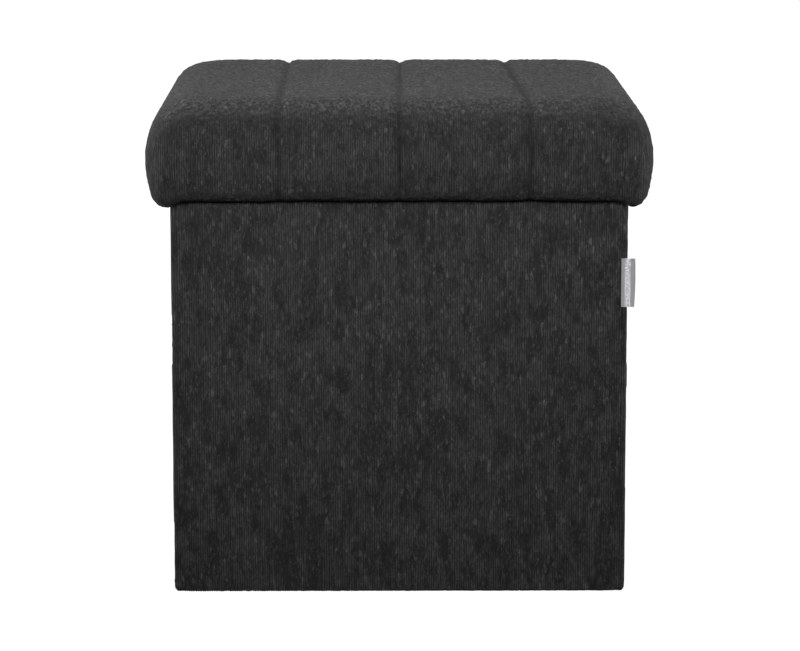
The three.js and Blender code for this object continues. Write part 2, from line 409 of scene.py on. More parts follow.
def new_group(name, inputs, outputs):
    """A shader node group with named inputs and outputs, and its two end nodes."""
    group = bpy.data.node_groups.new(name, "ShaderNodeTree")
    for label, kind, value in inputs:
        socket = group.interface.new_socket(label, in_out="INPUT", socket_type=kind)
        socket.default_value = value
    for label, kind in outputs:
        group.interface.new_socket(label, in_out="OUTPUT", socket_type=kind)
    source = group.nodes.new("NodeGroupInput")
    result = group.nodes.new("NodeGroupOutput")
    return group, source.outputs, result.inputs


COLOUR = "NodeSocketColor"
NUMBER = "NodeSocketFloat"
CLOTH_OUTPUTS = (("Colour", COLOUR), ("Roughness", NUMBER), ("Height", NUMBER))


def drawn_out(tree, split, stretch):
    """A place whose pattern is drawn out along the axes with a factor below one."""
    vector = tree.nodes.new("ShaderNodeCombineXYZ")
    for axis, factor in zip("XYZ", stretch):
        join(tree, times(tree, split.outputs[axis], factor), vector.inputs[axis])
    return vector.outputs[0]


def between(tree, share, a, b):
    """A number that goes from a to b as share goes from 0 to 1."""
    return plus(tree, times(tree, a, calc(tree, "SUBTRACT", 1.0, share)), times(tree, b, share))


# The boucle's pattern. A surface's flatness is 0 where it is upright and 1 where it lies level.
LYING = (0.48, 0.78)  # flatness over which the walls' nubs and ribs give way to the seat's nubs
CROWN = (0.82, 0.98)  # and over which the shoulder of the lid becomes its top
CURL_SIZE = 0.9  # of the pile over its loops, against the loops' own fineness
CURL = (0.34, 0.66)
CURL_SHARE = (0.24, 0.8)  # on the walls and on the seat
LOOP_SHARE = 0.4
FIBRE_SIZE = 7.0
FIBRE_SHARE = 0.25
FIBRE_ROUGHNESS = 0.12
SPECK_SIZE = 1.9
BRIGHT_SPECKS = (0.6, 0.72)
DARK_SPECKS = (0.58, 0.7)
BRIGHT_TONE = 2.0
DARK_TONE = 0.6
RIB_SWAY = 5.0
RIB_SWAY_SCALE = 45.0
RIB_BREAK = (0.33, 0.6)
RIB_BREAK_SCALE = 130.0
YARN_TONES = (0.8, 1.2)
WALL_DEPTH = (0.2, 1.3)  # heights of the pile from hollow to crest, and their tones: painted shade in the hollows and painted light on the crests
WALL_SHADING_TONES = (0.3, 1.65)
# The same on the seat: painted shade in the hollows and painted light on the crests, stronger on the
# flat top than on the shoulder
SEAT_DEPTH = (0.45, 1.15)
SHOULDER_SHADING_TONES = (0.48, 1.44)
CROWN_SHADING_TONES = (0.34, 1.58)
# Painted shade along the lid's sewn seams: how much of it, and its tone
SEAM_SHADE_SHARE = 0.9
SEAM_SHADE_TONE = 0.05
DRIFT_SCALE = 18.0
DRIFT_TONES = (0.88, 1.12)


def nub_pattern(tree, vector, fineness):
    """Round loops, the random tone of each loop's yarn, and the curl of the pile over them."""
    cells = add_node(tree, "ShaderNodeTexVoronoi", Vector=vector, Scale=fineness)
    loop = calc(tree, "SUBTRACT", 1.0, cells.outputs["Distance"], clamp=True)
    curl = noise_value(tree, vector, times(tree, fineness, CURL_SIZE), 3.0, 0.65)
    return loop, cells.outputs["Color"], ramp(tree, curl, *CURL)


def rib_pattern(tree, place, split, facing, pitch):
    """Ribs from 0 to 1 that run up each upright face, spaced along it, and sway a little."""
    across = calc(tree, "GREATER_THAN", calc(tree, "ABSOLUTE", facing.outputs["X"]),
                  calc(tree, "ABSOLUTE", facing.outputs["Y"]))
    along_y = times(tree, split.outputs["Y"], across)
    along_x = times(tree, split.outputs["X"], calc(tree, "SUBTRACT", 1.0, across))
    run = plus(tree, along_x, along_y)
    turn = times(tree, calc(tree, "DIVIDE", run, pitch), 2 * math.pi)
    sway = times(tree, noise_value(tree, place.outputs["Object"], RIB_SWAY_SCALE), RIB_SWAY)
    wave = calc(tree, "COSINE", plus(tree, turn, sway))
    return plus(tree, times(tree, wave, 0.5), 0.5)


def boucle_group():
    """Knitted boucle: nubs drawn out along fine ribs, with a melange of lighter and darker yarn,
    painted shade in the pile's hollows and along the seams, and painted light on its crests.
    """
    group, given, result = new_group(
        "boucle_knit",
        (("Ground", COLOUR, grey(0.03)), ("Fleck", COLOUR, grey(0.06)),
         ("Nub size", NUMBER, NUB_SIZE), ("Rib pitch", NUMBER, RIB_PITCH),
         ("Rib share", NUMBER, 0.7), ("Fleck share", NUMBER, 0.12), ("Roughness", NUMBER, 0.9)),
        CLOTH_OUTPUTS)
    place = group.nodes.new("ShaderNodeTexCoord")
    split = add_node(group, "ShaderNodeSeparateXYZ", Vector=place.outputs["Object"])
    facing = add_node(group, "ShaderNodeSeparateXYZ", Vector=place.outputs["Normal"])
    flatness = calc(group, "ABSOLUTE", facing.outputs["Z"])
    lying = ramp(group, flatness, *LYING)
    strands = drawn_out(group, split, (1.0, 1.0, NUB_STRETCH))
    seat_strands = drawn_out(group, split, (1.0, SEAT_STRETCH, 1.0))

    # Loops, curls and fibres
    fineness = calc(group, "DIVIDE", 1.0, given["Nub size"])
    wall_loop, wall_yarn, wall_curl = nub_pattern(group, strands, fineness)
    seat_loop, seat_yarn, seat_curl = nub_pattern(group, seat_strands, fineness)
    loop = between(group, lying, wall_loop, seat_loop)
    curl = between(group, lying, wall_curl, seat_curl)
    yarn = add_node(group, "ShaderNodeSeparateColor",
                    Color=mix_colour(group, lying, wall_yarn, seat_yarn))
    fibre = noise_value(group, strands, times(group, fineness, FIBRE_SIZE), 2.0, 0.6)
    speck = noise_value(group, strands, times(group, fineness, SPECK_SIZE), 2.0, 0.5)
    bright = ramp(group, speck, *BRIGHT_SPECKS)
    dark = ramp(group, calc(group, "SUBTRACT", 1.0, speck), *DARK_SPECKS)

    # Ribs, on upright faces only and broken here and there
    rib = rib_pattern(group, place, split, facing, given["Rib pitch"])
    upright = calc(group, "SUBTRACT", 1.0, flatness)
    broken = ramp(group, noise_value(group, strands, RIB_BREAK_SCALE, 3.0), *RIB_BREAK)
    rib_share = times(group, times(group, upright, broken), given["Rib share"])

    pile = plus(group, times(group, loop, LOOP_SHARE),
                times(group, curl, between(group, lying, *CURL_SHARE)))
    ribbed = times(group, rib, rib_share)
    height = plus(group, plus(group, pile, ribbed), times(group, fibre, FIBRE_SHARE))

    # Yarn colours, with painted shade in the hollows and seams, painted light on the crests, and slow
    # random drifts of tone over the cloth
    lit = ramp(group, yarn.outputs[0], calc(group, "SUBTRACT", 1.0, given["Fleck share"]), 1.0)
    plain = tones(group, yarn.outputs[1], YARN_TONES)
    yarns = mix_colour(group, 1.0, given["Ground"], plain, "MULTIPLY")
    melange = mix_colour(group, lit, yarns, given["Fleck"])
    # Painted shade in the pile's hollows and painted light on its crests, on the walls and on the
    # seat
    wall_painted_shading = tones(group, ramp(group, height, *WALL_DEPTH), WALL_SHADING_TONES)
    flecked = mix_colour(group, bright, wall_painted_shading, grey(BRIGHT_TONE))
    pitted = mix_colour(group, dark, flecked, grey(DARK_TONE))
    seat_depth = ramp(group, height, *SEAT_DEPTH)
    shoulder_painted_shading = tones(group, seat_depth, SHOULDER_SHADING_TONES)
    crown_painted_shading = tones(group, seat_depth, CROWN_SHADING_TONES)
    seat_painted_shading = mix_colour(group, ramp(group, flatness, *CROWN), shoulder_painted_shading, crown_painted_shading)
    # Painted shade along the lid's sewn seams, strongest on each seam's line
    sewn = group.nodes.new("ShaderNodeAttribute")
    sewn.attribute_name = "painted_seam_shade"
    seam_shade = times(group, sewn.outputs["Fac"], SEAM_SHADE_SHARE)
    hollow = mix_colour(group, seam_shade, mix_colour(group, lying, pitted, seat_painted_shading),
                        grey(SEAM_SHADE_TONE))
    cloudy = noise_value(group, place.outputs["Object"], DRIFT_SCALE, 3.0, 0.6)
    drift = tones(group, cloudy, DRIFT_TONES)
    colour = mix_colour(group, 1.0, mix_colour(group, 1.0, melange, hollow, "MULTIPLY"),
                        drift, "MULTIPLY")
    join(group, colour, result["Colour"])
    rough = plus(group, given["Roughness"], times(group, fibre, FIBRE_ROUGHNESS), clamp=True)
    join(group, rough, result["Roughness"])
    join(group, height, result["Height"])
    return group


# The plain weave
SLUB_SIZE = 0.12  # of the uneven yarn, against the weave's own fineness
SLUB_SHARE = 0.5
SLUB_ROUGHNESS = 0.15
WEAVE_DEPTH = (0.25, 1.25)
STRIPE_FUZZ_SCALE = 900.0
STRIPE_FUZZ = (0.4, 0.6)
STRIPE_SHARE = 0.8
STRIPE_COLOUR = (0.66, 0.66, 0.69, 1)


def weave_group():
    """Plain weave or webbing, by the pitch of its yarns, with an uneven yarn colour and painted shade
    where the yarns dip.
    """
    group, given, result = new_group(
        "plain_weave",
        (("Yarn", COLOUR, grey(0.02)), ("Shade", COLOUR, grey(0.01)),
         ("Pitch", NUMBER, 0.8 * MM), ("Slant", NUMBER, 0.0), ("Roughness", NUMBER, 0.8),
         ("Stripe place", NUMBER, 0.0), ("Stripe width", NUMBER, 0.0)),
        CLOTH_OUTPUTS)
    place = group.nodes.new("ShaderNodeTexCoord")
    split = add_node(group, "ShaderNodeSeparateXYZ", Vector=place.outputs["Object"])
    turn = calc(group, "DIVIDE", 2 * math.pi, given["Pitch"])
    tilted = plus(group, split.outputs["X"], times(group, split.outputs["Y"], given["Slant"]))
    warp = calc(group, "SINE", times(group, tilted, turn))
    rise = plus(group, split.outputs["Y"], split.outputs["Z"])
    weft = calc(group, "SINE", times(group, rise, turn))
    over = times(group, warp, weft)
    lift = plus(group, times(group, over, 0.5), 0.5)
    slub = noise_value(group, place.outputs["Object"], times(group, turn, SLUB_SIZE), 3.0)
    height = plus(group, lift, times(group, slub, SLUB_SHARE))
    # Painted shade: the weave's low points take the darker shade colour
    shade_share = ramp(group, height, *WEAVE_DEPTH)
    woven = mix_colour(group, shade_share, given["Shade"], given["Yarn"])
    past = calc(group, "SUBTRACT", split.outputs["X"], given["Stripe place"])
    stripe = calc(group, "LESS_THAN", calc(group, "ABSOLUTE", past), given["Stripe width"])
    fuzz = ramp(group, noise_value(group, place.outputs["Object"], STRIPE_FUZZ_SCALE, 2.0),
                *STRIPE_FUZZ)
    striped = times(group, stripe, times(group, fuzz, STRIPE_SHARE))
    join(group, mix_colour(group, striped, woven, STRIPE_COLOUR), result["Colour"])
    rough = plus(group, given["Roughness"], times(group, slub, SLUB_ROUGHNESS), clamp=True)
    join(group, rough, result["Roughness"])
    join(group, height, result["Height"])
    return group


# The pressed fibreboard
STRAND_SCALE = 900.0
STRAND_SHARE = 0.7
STRAND_ROUGHNESS = 0.2
PATCH_SCALE = 60.0
PATCH_SHARE = 0.3
STRAND_TONES = (0.35, 0.65)


def fibreboard_group():
    """Pressed fibreboard: short pale and dark fibres in a brown ground."""
    group, given, result = new_group(
        "pressed_fibre",
        (("Ground", COLOUR, (0.25, 0.15, 0.07, 1)), ("Fibre", COLOUR, (0.4, 0.27, 0.15, 1)),
         ("Roughness", NUMBER, 0.7)),
        CLOTH_OUTPUTS)
    place = group.nodes.new("ShaderNodeTexCoord")
    strands = noise_value(group, place.outputs["Object"], STRAND_SCALE, 4.0, 0.7)
    patches = noise_value(group, place.outputs["Object"], PATCH_SCALE, 3.0, 0.6)
    pressed_in = plus(group, times(group, strands, STRAND_SHARE),
                      times(group, patches, PATCH_SHARE))
    share = ramp(group, pressed_in, *STRAND_TONES)
    join(group, mix_colour(group, share, given["Ground"], given["Fibre"]), result["Colour"])
    rough = plus(group, given["Roughness"], times(group, strands, STRAND_ROUGHNESS))
    join(group, rough, result["Roughness"])
    join(group, strands, result["Height"])
    return group


SOFT_SHINE = 0.25


def cloth_material(name, group, bump, reach, **values):
    """A material whose colour, roughness and relief come from one group with these values."""
    material = bpy.data.materials.new(name)
    tree = empty_tree(material)
    effect = tree.nodes.new("ShaderNodeGroup")
    effect.node_tree = group
    for label, value in values.items():
        effect.inputs[label.replace("_", " ")].default_value = value
    relief = add_node(tree, "ShaderNodeBump", Strength=bump, Distance=reach,
                      Height=effect.outputs["Height"])
    surface = add_node(tree, "ShaderNodeBsdfPrincipled", Specular_IOR_Level=SOFT_SHINE,
                       Base_Color=effect.outputs["Colour"],
                       Roughness=effect.outputs["Roughness"], Normal=relief.outputs["Normal"])
    add_node(tree, "ShaderNodeOutputMaterial", Surface=surface.outputs[0])
    return material


knit = boucle_group()
weave = weave_group()
pressed = fibreboard_group()

board_look = cloth_material("brown_fibreboard", pressed, 0.25, 0.15 * MM)

# The material of each slot of a cloth piece
LOOKS = {
    "cover_fabric": cloth_material("charcoal_boucle", knit, 0.75, 0.8 * MM, Ground=grey(0.0177),
                                   Fleck=grey(0.035), Nub_size=2 * MM, Roughness=0.88),
    "seam_fabric": cloth_material("dark_seam_cloth", knit, 0.5, 0.4 * MM,
                                  Ground=grey(0.012), Fleck=grey(0.022), Roughness=0.9),
    "lining_fabric": cloth_material("black_lining", weave, 0.4, 0.2 * MM,
                                    Yarn=grey(0.036), Shade=grey(0.013), Pitch=1.1 * MM),
    "tape": cloth_material("black_webbing", weave, 0.6, 0.3 * MM,
                           Yarn=grey(0.02), Shade=grey(0.006), Pitch=1.6 * MM, Slant=1.0),
    "tag_fabric": cloth_material("grey_label_weave", weave, 0.5, 0.15 * MM,
                                 Yarn=grey(0.3, 1.03), Shade=grey(0.11, 1.03), Pitch=1.5 * MM,
                                 Stripe_place=0.1722, Stripe_width=2.2 * MM)}


def finish_piece(piece, slot, thickness=None):
    """Gives a piece its material, and a cloth its thickness on the side its face turns from."""
    if thickness:
        apply_modifier(piece, "SOLIDIFY", thickness=thickness, offset=-1)
    activate(piece)
    bpy.ops.object.shade_smooth_by_angle(angle=SMOOTH_ANGLE)
    piece.data.materials.clear()
    piece.data.materials.append(LOOKS[slot])


# Strips and sheets that are laid out flat and then put in their place

SHEET_GRID = 60  # divisions of a sheet's mesh each way


def lay_cloth(name, width, length, columns, rows, place):
    """A cloth grid put in its place by a function of its two flat coordinates."""
    cloth = add_grid(name, width, length, columns, rows)
    flat = places(cloth)
    set_places(cloth, place(flat[:, 0], flat[:, 1]))
    return cloth


def at(x, y, z):
    """Points from three coordinates, each a number or an array."""
    return np.stack(np.broadcast_arrays(x, y, z), axis=1).astype(float)


def ease(cloth, height, size, seed, way=1):
    """Lets a cloth lie unevenly, lower than its face by up to twice this height."""
    points = places(cloth)
    drop = height * (way * field(points, size, seed) - 1)
    set_places(cloth, points + normals_of(cloth) * drop[:, None])


def ring_path(run, half_x, half_y, radius):
    """Points along a rounded rectangle, anticlockwise from the middle of its front."""
    arc = radius * math.pi / 2
    sides = (half_x - radius, half_y - radius)
    lengths = [2 * sides[0], arc, 2 * sides[1], arc] * 2
    run = np.mod(run + sides[0], sum(lengths))
    x = np.empty_like(run)
    y = np.empty_like(run)
    start = 0.0
    for index, length in enumerate(lengths):
        here = (run >= start) & (run <= start + length)
        along = run[here] - start
        quarter = index // 2
        turn = (quarter - 1) * math.pi / 2
        way = quarter * math.pi / 2
        straight = index % 2 == 0
        angle = turn + (np.zeros_like(along) if straight else along / radius)
        back = 2 * sides[quarter % 2] - along if straight else np.zeros_like(along)
        corner = ((1, -1), (1, 1), (-1, 1), (-1, -1))[quarter]
        x[here] = corner[0] * sides[0] + radius * np.cos(angle) - back * math.cos(way)
        y[here] = corner[1] * sides[1] + radius * np.sin(angle) - back * math.sin(way)
        start += length
    return x, y


def ring_length(half_x, half_y, radius):
    return 4 * (half_x + half_y - 2 * radius) + 2 * math.pi * radius


def merge_points(piece):
    edit(piece)
    bpy.ops.mesh.select_all(action="SELECT")
    bpy.ops.mesh.remove_doubles(threshold=MERGE)
    leave_edit()


# Walls: each cover is a rectangle of cloth turned in round its board

WALL_RADIUS = 2.6 * MM
TURN_ROWS = 10  # of the mesh, in the part of a cover that is turned in
WALL_LINING = 0.48 * MM
WALL_LINING_GRID = 40


def turned_in(across, up, half, height, depth):
    """Where points of a flat cloth lie once its sides and top are turned in round a board."""
    side = np.maximum(np.abs(across) - (half - WALL_RADIUS), 0)
    top = np.maximum(up - (height - WALL_RADIUS), 0)
    past = np.maximum(side, top)
    length = np.maximum(np.hypot(side, top), 1e-12)
    bend = np.minimum(past / WALL_RADIUS, math.pi / 2)
    straight = np.clip(past - WALL_RADIUS * math.pi / 2, 0, depth - WALL_RADIUS)
    reach = WALL_RADIUS * np.sin(bend) / length
    x = np.sign(across) * (np.minimum(np.abs(across), half - WALL_RADIUS) + reach * side)
    z = np.minimum(up, height - WALL_RADIUS) + reach * top
    y = WALL_RADIUS * (1 - np.cos(bend)) + straight
    return np.stack([x, y, z], axis=1)


def wall_frame(label, side):
    """A wall's outer face: its origin at the foot of its middle, its run and its inward way."""
    low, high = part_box(f"{label}_cover")
    middle = (low + high) / 2
    run, inward = {"front": ((1, 0), (0, 1)), "back": ((-1, 0), (0, -1)),
                   "left": ((0, -1), (1, 0)), "right": ((0, 1), (-1, 0))}[side]
    run = np.array(run, float)
    inward = np.array(inward, float)
    size = np.array(high - low)
    length = float(np.abs(run) @ size[:2])
    depth = float(np.abs(inward) @ size[:2])
    foot = np.array(middle)[:2] - inward * depth / 2
    return run, inward, foot, low.z, length, depth, size[2]


def make_cover(label, side, body):
    run, inward, foot, foot_z, length, depth, height = wall_frame(label, side)
    turn = WALL_RADIUS * (math.pi / 2 - 1) + depth - WALL_RADIUS
    cut_width = length + 2 * turn
    cut_height = height + turn
    columns = round(cut_width / RIB_COLUMN)
    face_rows = round((height - WALL_RADIUS) / CLOTH_ROW)
    rows = face_rows + TURN_ROWS
    cover = add_grid(f"{label}_cloth", cut_width, 1, columns, rows)
    flat = places(cover)
    step = (flat[:, 1] + 0.5) * rows
    face = height - WALL_RADIUS
    up = np.where(step <= face_rows, step / face_rows * face,
                  face + (step - face_rows) / TURN_ROWS * (cut_height - face))
    across = flat[:, 0]
    inset = PILE_ROOM if side in ("front", "back") else 0
    local = turned_in(across, up, length / 2 - inset, height, depth - PILE_ROOM)
    local[:, 1] += PILE_ROOM
    points = np.empty_like(local)
    points[:, :2] = foot + local[:, :1] * run + local[:, 1:2] * inward
    points[:, 2] = foot_z + local[:, 2]
    set_places(cover, points)
    slack = SLACK_HEIGHT * field(points, SLACK_SIZE)
    set_places(cover, points + normals_of(cover) * slack[:, None])
    rough_up(cover, run=across)
    if label == "front":
        beside = np.abs(np.abs(across) - (length / 2 - EDGE_SEAM_INSET)) / EDGE_SEAM_WIDTH
        points = places(cover)
        points[:, :2] += EDGE_SEAM_DEPTH * np.exp(-beside ** 2)[:, None] * inward
        set_places(cover, points)
    finish_piece(cover, "cover_fabric", COVER_CLOTH)
    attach(cover, body)
    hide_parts(f"{label}_cover")


def make_wall_lining(label, body):
    """A wall's lining, whose good side looks into the box."""
    low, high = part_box(f"{label}_lining")
    middle = (low + high) / 2
    size = high - low
    thin_x = size.x < size.y
    width = size.y if thin_x else size.x
    towards = -np.sign(middle.x if thin_x else middle.y)
    run = 1 if (towards < 0) != thin_x else -1
    face = high if towards > 0 else low

    def place(across, up):
        if thin_x:
            return at(face.x, middle.y + run * across, middle.z + up)
        return at(middle.x + run * across, face.y, middle.z + up)

    lining = lay_cloth(f"{label}_lining_cloth", width, size.z, WALL_LINING_GRID,
                       WALL_LINING_GRID, place)
    ease(lining, 0.15 * MM, 40 * MM, 3.1)
    finish_piece(lining, "lining_fabric", WALL_LINING)
    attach(lining, body)
    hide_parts(f"{label}_lining")


WALLS = (("front", "front", "front_wall"), ("back", "back", "shell"),
         ("left_front", "left", "left_front_wall"), ("left_rear", "left", "left_rear_wall"),
         ("right_front", "right", "right_front_wall"), ("right_rear", "right", "right_rear_wall"))


def make_walls():
    for label, side, body in WALLS:
        make_cover(label, side, body)
        make_wall_lining(label, body)
        dress(f"{label}_board", board_look)


# The foot of the shell: a hem that turns in under the walls, and the floor cloth inside it

FOOT_ROUND = 1.6 * MM  # along the sides
FOOT_CORNER_ROUND = 4.2 * MM  # and at the corners, where the cloth is gathered
FOOT_CORNER_REACH = 9 * MM
FOOT_TURN = 4 * MM  # width of the hem's edge that lies flat under the box
FOOT_LIFT = 0.3 * MM
FOOT_ROWS = 14
FLOOR_CLOTH = 0.9 * MM


def squash_with_walls(piece):
    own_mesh(piece)


def make_foot_hem():
    low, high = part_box("floor_cloth")
    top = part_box("front_cover")[0].z
    half_x = high.x - PILE_ROOM
    half_y = high.y - PILE_ROOM
    long = ring_length(half_x, half_y, WALL_RADIUS)
    tall = top - FOOT_LIFT - FOOT_ROUND + FOOT_ROUND * math.pi / 2 + FOOT_TURN
    columns = round(long / RIB_COLUMN)
    hem = add_grid("foot_hem_cloth", long, tall, columns, FOOT_ROWS)
    flat = places(hem)
    x, y = ring_path(flat[:, 0], half_x, half_y, WALL_RADIUS)
    from_corner = np.hypot(half_x - np.abs(x), half_y - np.abs(y))
    near = np.exp(-(from_corner / FOOT_CORNER_REACH) ** 2)
    rounding = FOOT_ROUND + (FOOT_CORNER_ROUND - FOOT_ROUND) * near
    upright = top - FOOT_LIFT - rounding
    down = tall / 2 - flat[:, 1]
    bend = np.clip((down - upright) / rounding, 0, math.pi / 2)
    under = np.maximum(down - upright - rounding * math.pi / 2, 0)
    inward = rounding * (1 - np.cos(bend)) + under
    z = top - np.minimum(down, upright) - rounding * np.sin(bend)
    x = np.clip(x, inward - half_x, half_x - inward)
    y = np.clip(y, inward - half_y, half_y - inward)
    set_places(hem, at(x, y, z))
    merge_points(hem)
    points = places(hem)
    side = np.abs(points[:, 0]) / half_x < np.abs(points[:, 1]) / half_y
    rough_up(hem, run=np.where(side, points[:, 0], points[:, 1]))
    finish_piece(hem, "cover_fabric", COVER_CLOTH)
    points = places(hem)
    points[:, 2] = np.maximum(points[:, 2], FOOT_LIFT / 2)
    set_places(hem, points)
    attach(hem, "shell")
    squash_with_walls(hem)
    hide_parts("foot_hem_front", "foot_hem_back", "foot_hem_left", "foot_hem_right")


def make_floor_cloth():
    low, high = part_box("floor_cloth")
    half = high.x - FOOT_CORNER_ROUND - FOOT_TURN
    top = high.z - 0.1 * MM
    floor = lay_cloth("floor_cloth_sheet", 2 * half, 2 * half, SHEET_GRID, SHEET_GRID,
                      lambda u, v: at(u, v, top))
    ease(floor, 0.15 * MM, 25 * MM, 5.5, way=-1)
    finish_piece(floor, "lining_fabric", FLOOR_CLOTH)
    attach(floor, "shell")
    squash_with_walls(floor)
    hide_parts("floor_cloth")


# The base board's cloth face, its pull tab and the tape it hinges on

FACE_CLOTH = 0.45 * MM  # of the linings on the base and under the lid's board
TAB_WEBBING = 0.26 * MM
TAB_TAPER = 0.06
TAPE_WEBBING = 0.3 * MM
TAPE_CURVE = 0.9 * MM
TAPE_LYING = 13 * MM  # how much of the tape lies on the base
TAPE_CLEAR = 0.05 * MM  # between the tape and the wall it is sewn to
TAPE_OVER_BASE = 0.32 * MM


def make_base_lining():
    low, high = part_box("base_lining")
    middle_y = (low.y + high.y) / 2
    width = high.x - low.x
    depth = high.y - low.y
    face = lay_cloth("base_lining_cloth", width, depth, SHEET_GRID, SHEET_GRID,
                     lambda u, v: at(u, v + middle_y, high.z))
    ease(face, 0.05 * MM, 30 * MM, 2.2)
    finish_piece(face, "lining_fabric", FACE_CLOTH)
    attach(face, "base")
    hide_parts("base_lining")
    dress("base_board", board_look)


def make_pull_tab():
    """A loop of webbing that lies doubled on the base, sewn down at its front end."""
    low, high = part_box("base_pull_tab")
    loop = (high.z - low.z - TAB_WEBBING) / 2
    length = high.y - low.y - loop
    cut = 2 * length + math.pi * loop

    def place(across, along):
        run = along + cut / 2
        bend = np.clip((run - length) / loop, 0, math.pi)
        back = np.maximum(run - length - math.pi * loop, 0)
        y = low.y + np.minimum(run, length) + loop * np.sin(bend) - back
        z = low.z + loop * (1 - np.cos(bend))
        taper = 1 - TAB_TAPER * np.clip((y - low.y) / (high.y - low.y), 0, 1)
        return at(across * taper, y, z)

    tab = lay_cloth("base_pull_tab_webbing", high.x - low.x, cut, 16, SHEET_GRID, place)
    finish_piece(tab, "tape", TAB_WEBBING)
    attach(tab, "base")
    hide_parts("base_pull_tab")


def make_hinge_tape():
    low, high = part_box("base_hinge_tape")
    base_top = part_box("base_lining")[1].z
    y_face = low.y + TAPE_CLEAR
    z_face = base_top + TAPE_OVER_BASE
    upright = high.z - z_face - TAPE_CURVE
    arc = TAPE_CURVE * math.pi / 2
    cut = upright + arc + TAPE_LYING

    def place(across, along):
        run = cut / 2 - along
        bend = np.clip((run - upright) / TAPE_CURVE, 0, math.pi / 2)
        flat_run = np.maximum(run - upright - arc, 0)
        z = high.z - np.minimum(run, upright) - TAPE_CURVE * np.sin(bend)
        y = y_face - TAPE_CURVE * (1 - np.cos(bend)) - flat_run
        return at(across, y, z)

    tape = lay_cloth("base_hinge_webbing", high.x - low.x, cut, 80, SHEET_GRID, place)
    finish_piece(tape, "tape", TAPE_WEBBING)
    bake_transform(tape)
    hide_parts("base_hinge_tape")


# Seams between the walls: hinge cloth behind each upright seam

SEAM_STRIP = 4.4 * MM
SEAM_BEHIND = 1.3 * MM  # how far the hinge cloth lies behind the face of the walls
SEAM_CLOTH = 0.5 * MM
SEAM_SHORT = 1 * MM  # how far it stays below the top of the walls
LOOP_LINING = 22 * MM  # width of the lining strip that goes over a side's middle fold
LOOP_CLOTH = 0.35 * MM
LINING_TUCK = 4.2 * MM  # how deep it is tucked into the fold
TUCK_WIDTH = 1.9 * MM
GUSSET_PLEAT = 1.3 * MM
GUSSET_LAP = 1 * MM


def upright_strip(name, side, depth, middle_y, width, low_z, high_z, columns=8, rows=SHEET_GRID):
    """A strip of cloth on one side of the box, side -1 for the left and 1 for the right."""
    middle_z = (low_z + high_z) / 2
    return lay_cloth(name, width, high_z - low_z, columns, rows,
                     lambda u, v: at(side * depth, middle_y + side * u, middle_z + v))


def make_seam(name, side, middle_y, pair, node=None):
    """The hinge cloth of one seam, which lies between the two bodies of a pair or rides on one."""
    low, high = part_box("left_rear_cover")
    depth = abs(low.x) - SEAM_BEHIND
    strip = upright_strip(name, side, depth, middle_y, SEAM_STRIP, low.z, high.z - SEAM_SHORT)
    points = places(strip)
    points[:, 0] += 0.15 * MM * field(points, 4 * MM, 8.8)
    set_places(strip, points)
    finish_piece(strip, "seam_fabric", SEAM_CLOTH)
    if len(pair) == 2:
        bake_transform(strip)
    else:
        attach(strip, pair[0])
    if node:
        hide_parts(node)


def make_loop_lining(label, side, fold_y):
    """Lining over the inside of a middle fold, tucked in so that the halves can open."""
    low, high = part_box(f"{label}_rear_lining")
    inside = min(abs(low.x), abs(high.x)) - 0.1 * MM
    middle_z = (low.z + high.z) / 2

    def place(across, up):
        tuck = LINING_TUCK * np.exp(-(across / TUCK_WIDTH) ** 2)
        return at(side * (inside + tuck), fold_y - side * across, middle_z + up)

    strip = lay_cloth(f"lining_fold_{label}", LOOP_LINING, high.z - low.z,
                      SHEET_GRID, SHEET_GRID, place)
    finish_piece(strip, "lining_fabric", LOOP_CLOTH)
    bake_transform(strip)


def make_gusset(label, side):
    """Slack cloth at a rear corner, drawn in to a shallow pleat."""
    low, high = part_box(f"corner_gusset_{label}")
    face = max(abs(low.x), abs(high.x))
    width = high.y - low.y + GUSSET_LAP
    gusset = upright_strip(f"corner_gusset_{label}_cloth", side, face - PILE_ROOM / 2,
                           (low.y + high.y) / 2, width, low.z, high.z, 20, 80)
    points = places(gusset)
    across = (points[:, 1] - (low.y + high.y) / 2) / (width / 2)
    points[:, 0] -= side * GUSSET_PLEAT * (0.35 + 0.65 * np.cos(across * math.pi / 2) ** 2)
    set_places(gusset, points)
    rough_up(gusset)
    finish_piece(gusset, "cover_fabric", COVER_CLOTH)
    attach(gusset, "shell")
    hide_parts(f"corner_gusset_{label}")


def make_seams():
    front_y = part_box("corner_seam_left")[1].y
    middle_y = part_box("fold_seam_left")[0].y
    rear_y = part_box("corner_gusset_left")[0].y
    for label, side in (("left", -1), ("right", 1)):
        front = f"{label}_front_wall"
        rear = f"{label}_rear_wall"
        make_seam(f"corner_hinge_cloth_{label}", side, front_y - 0.4 * MM,
                  ("front_wall", front), f"corner_seam_{label}")
        make_seam(f"fold_hinge_cloth_{label}", side, middle_y, (front, rear), f"fold_seam_{label}")
        make_loop_lining(label, side, middle_y - 0.3 * MM)
        make_gusset(label, side)
    make_seam("rear_hinge_cloth_left", -1, rear_y, ("left_rear_wall", "shell"))
    make_seam("rear_hinge_cloth_right", 1, rear_y, ("shell",))


# The folded label

TAG_TAPE = 0.34 * MM
TAG_BOW = 0.5 * MM  # how far its outer end bulges at the middle
TAG_SLANT = 0.5 * MM  # how far its top stands out past its foot
TAG_TWIST = 0.25 * MM
TAG_TUCK = 1.3 * MM  # how far its inner end is tucked into the seam


